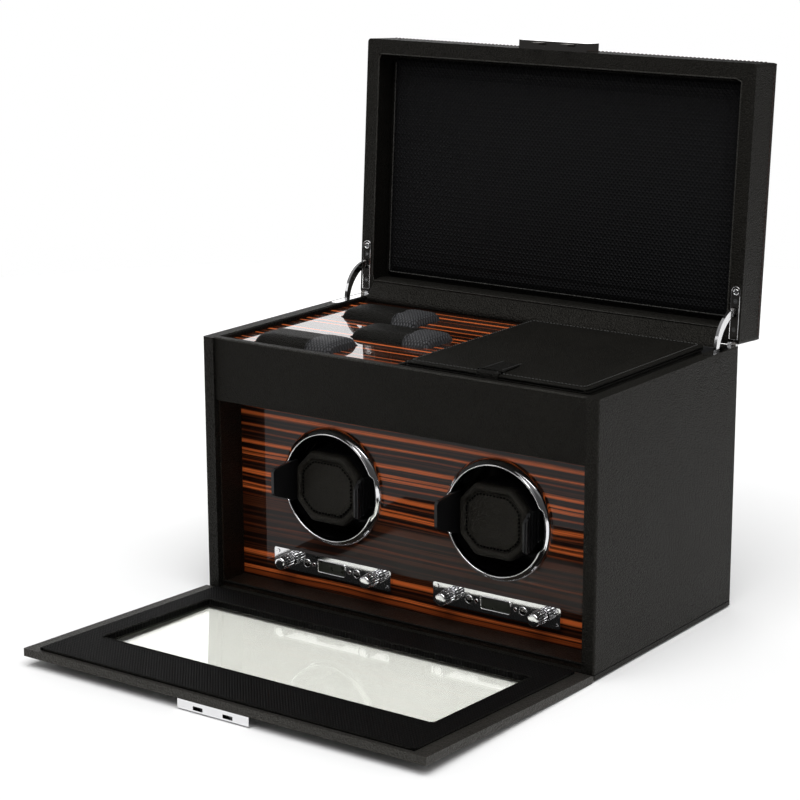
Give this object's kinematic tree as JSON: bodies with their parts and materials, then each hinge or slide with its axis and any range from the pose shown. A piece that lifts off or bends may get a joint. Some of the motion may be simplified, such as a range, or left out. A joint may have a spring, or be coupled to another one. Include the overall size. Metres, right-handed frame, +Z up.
{
  "type": "watch winder box",
  "caption": "Leather-covered case with a glass drop-down door over motor-driven cup rotors holding padded cuffs, and a hinged lid over a storage deck with lift-out cushions and a travel case.",
  "frame": {"origin": "centre of the felt pad on its underside, where the box stands", "axes": "+Z up, -Y towards the glass door (front), +X towards the right side seen from the front"},
  "size_m": [0.36, 0.4691, 0.4293],
  "materials": {
    "felt": "matte",
    "leather": "semi-gloss grained",
    "liner": "semi-gloss",
    "wood": "high-gloss lacquer",
    "steel": "polished",
    "motor": "satin",
    "board": "satin",
    "chrome": "polished",
    "lcd": "gloss",
    "led": "gloss",
    "plastic": "satin",
    "hinge_metal": "satin",
    "woven": "woven pattern",
    "glass": "clear",
    "pad": "soft padded"
  },
  "bodies": {
    "case": {"base_felt": "felt", "base_board": "leather", "side_left": "leather", "side_right": "leather", "back_panel": "leather", "fascia": "leather", "bay_liner": "liner", "winder_panel": "wood", "shelf": "leather", "deck": "wood", "pocket_cups": "felt", "well_liner": "felt", "motor_bracket": "steel", "motors": "motor", "pcbs": "board", "control_plate_left": "chrome", "control_plate_right": "chrome", "lcd_windows": "lcd", "status_leds": "led", "plate_screws": "chrome", "dc_jack": "plastic", "service_cover": "plastic", "stay_leaves": "steel", "stay_screws": "steel", "door_hinges": "hinge_metal"},
    "lid": {"lid_shell": "leather", "lid_pad": "woven", "lid_latch": "chrome", "lid_leaves": "steel", "lid_screws": "steel"},
    "stay_l": {"stay_arm_left": "steel"},
    "stay_r": {"stay_arm_right": "steel"},
    "door": {"door_frame": "leather", "door_panel": "woven", "door_glass": "glass", "door_latch": "chrome", "door_leaves": "hinge_metal"},
    "rotor_l": {"cup_left": "plastic", "ring_left": "chrome"},
    "rotor_r": {"cup_right": "plastic", "ring_right": "chrome"},
    "cuff_l": {"cuff_core_left": "plastic", "cuff_pad_left": "pad"},
    "cuff_r": {"cuff_core_right": "plastic", "cuff_pad_right": "pad"},
    "wing_l": {"cuff_wing_left": "plastic"},
    "wing_r": {"cuff_wing_right": "plastic"},
    "control_knob_1": {"knob_1": "chrome"},
    "control_knob_2": {"knob_2": "chrome"},
    "control_knob_3": {"knob_3": "chrome"},
    "control_knob_4": {"knob_4": "chrome"},
    "push_button_1": {"button_1": "chrome"},
    "push_button_2": {"button_2": "chrome"},
    "push_button_3": {"button_3": "chrome"},
    "push_button_4": {"button_4": "chrome"},
    "storage_pillow_1": {"pillow_1": "pad"},
    "storage_pillow_2": {"pillow_2": "pad"},
    "storage_pillow_3": {"pillow_3": "pad"},
    "travel_case": {"travel_tray": "pad"},
    "travel_cover": {"travel_lid": "pad"}
  },
  "joints": [
    {"name": "lid_hinge", "type": "hinge", "parent": "case", "child": "lid", "pos_m": [0, 0.1035, 0.21], "axis": [1, 0, 0], "range_deg": [0, 93.7]},
    {"name": "stay_l_slide", "type": "hinge", "parent": "case", "child": "stay_l", "pos_m": [-0.1745, 0.1035, 0.21], "axis": [1, 0, 0], "range_deg": [0, 46.85]},
    {"name": "stay_r_slide", "type": "hinge", "parent": "case", "child": "stay_r", "pos_m": [0.1745, 0.1035, 0.21], "axis": [1, 0, 0], "range_deg": [0, 46.85]},
    {"name": "door_hinge", "type": "hinge", "parent": "case", "child": "door", "pos_m": [0, -0.1068, 0.0033], "axis": [-1, 0, 0], "range_deg": [0, 87.85]},
    {"name": "rotor_l_spin", "type": "hinge", "parent": "case", "child": "rotor_l", "pos_m": [-0.077, -0.03, 0.0969], "axis": [0, 1, 0], "continuous": true},
    {"name": "cuff_l_pull", "type": "slide", "parent": "rotor_l", "child": "cuff_l", "axis": [0, 1, 0], "range_m": [-0.065, 0]},
    {"name": "wing_l_squeeze", "type": "slide", "parent": "cuff_l", "child": "wing_l", "axis": [1, 0, 0], "range_m": [0, 0.0022], "stiffness_N_per_m": 300, "springref_m": -0.001},
    {"name": "rotor_r_spin", "type": "hinge", "parent": "case", "child": "rotor_r", "pos_m": [0.077, -0.03, 0.0969], "axis": [0, 1, 0], "continuous": true},
    {"name": "cuff_r_pull", "type": "slide", "parent": "rotor_r", "child": "cuff_r", "axis": [0, 1, 0], "range_m": [-0.065, 0]},
    {"name": "wing_r_squeeze", "type": "slide", "parent": "cuff_r", "child": "wing_r", "axis": [1, 0, 0], "range_m": [0, 0.0022], "stiffness_N_per_m": 300, "springref_m": -0.001},
    {"name": "knob_1_turn", "type": "hinge", "parent": "case", "child": "control_knob_1", "pos_m": [-0.1184, -0.08, 0.0308], "axis": [0, 1, 0], "range_deg": [-150, 150]},
    {"name": "knob_2_turn", "type": "hinge", "parent": "case", "child": "control_knob_2", "pos_m": [-0.0356, -0.08, 0.0308], "axis": [0, 1, 0], "range_deg": [-150, 150]},
    {"name": "knob_3_turn", "type": "hinge", "parent": "case", "child": "control_knob_3", "pos_m": [0.0356, -0.08, 0.0308], "axis": [0, 1, 0], "range_deg": [-150, 150]},
    {"name": "knob_4_turn", "type": "hinge", "parent": "case", "child": "control_knob_4", "pos_m": [0.1184, -0.08, 0.0308], "axis": [0, 1, 0], "range_deg": [-150, 150]},
    {"name": "button_1_press", "type": "slide", "parent": "case", "child": "push_button_1", "axis": [0, 1, 0], "range_m": [0, 0.001], "stiffness_N_per_m": 300, "springref_m": -0.001},
    {"name": "button_2_press", "type": "slide", "parent": "case", "child": "push_button_2", "axis": [0, 1, 0], "range_m": [0, 0.001], "stiffness_N_per_m": 300, "springref_m": -0.001},
    {"name": "button_3_press", "type": "slide", "parent": "case", "child": "push_button_3", "axis": [0, 1, 0], "range_m": [0, 0.001], "stiffness_N_per_m": 300, "springref_m": -0.001},
    {"name": "button_4_press", "type": "slide", "parent": "case", "child": "push_button_4", "axis": [0, 1, 0], "range_m": [0, 0.001], "stiffness_N_per_m": 300, "springref_m": -0.001},
    {"name": "pillow_1_lift", "type": "slide", "parent": "case", "child": "storage_pillow_1", "axis": [0, 0, -1], "range_m": [-0.045, 0]},
    {"name": "pillow_2_lift", "type": "slide", "parent": "case", "child": "storage_pillow_2", "axis": [0, 0, -1], "range_m": [-0.045, 0]},
    {"name": "pillow_3_lift", "type": "slide", "parent": "case", "child": "storage_pillow_3", "axis": [0, 0, -1], "range_m": [-0.045, 0]},
    {"name": "travel_case_lift", "type": "slide", "parent": "case", "child": "travel_case", "axis": [0, 0, -1], "range_m": [-0.05, 0]},
    {"name": "travel_cover_hinge", "type": "hinge", "parent": "travel_case", "child": "travel_cover", "pos_m": [0.083, 0.083, 0.2083], "axis": [1, 0, 0], "range_deg": [-95, 0]}
  ],
  "couplings": [
    {"joint": "stay_l_slide", "follows": "lid_hinge", "ratio": 0.5},
    {"joint": "stay_r_slide", "follows": "lid_hinge", "ratio": 0.5}
  ]
}
